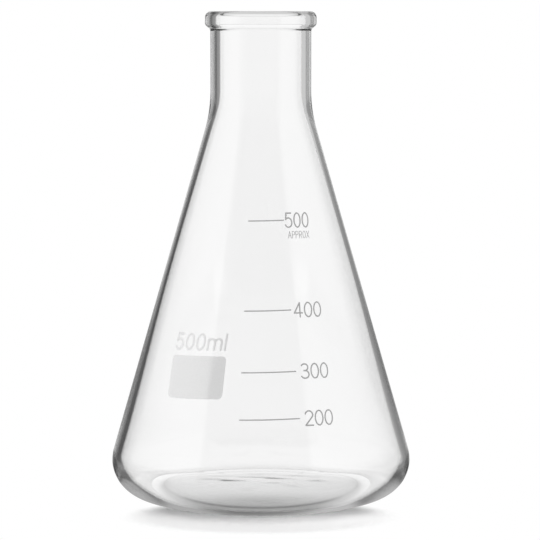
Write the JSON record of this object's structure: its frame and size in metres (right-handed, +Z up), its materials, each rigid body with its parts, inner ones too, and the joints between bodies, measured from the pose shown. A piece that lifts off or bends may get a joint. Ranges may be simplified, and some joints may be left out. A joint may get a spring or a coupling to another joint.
{
  "type": "erlenmeyer flask",
  "caption": "Conical glass flask with a narrow neck, a beaded rim and a printed volume scale, for mixing and heating liquids.",
  "frame": {"origin": "centre of the foot ring, on the surface the flask stands on", "axes": "+Z up along the neck, out of the mouth. -Y is the front, which the printed scale faces, and +X is to the right of someone who reads it."},
  "size_m": [0.105, 0.105, 0.1701],
  "materials": {
    "clear_glass": "clear, fire polished",
    "white_enamel": "matt fired enamel, thin enough to let some light through",
    "scale_enamel": "satin fired enamel"
  },
  "bodies": {
    "root": {"glass_body": "clear_glass", "marking_spot": "white_enamel", "graduation_200": "scale_enamel", "graduation_300": "scale_enamel", "graduation_400": "scale_enamel", "graduation_500": "scale_enamel"}
  },
  "joints": []
}
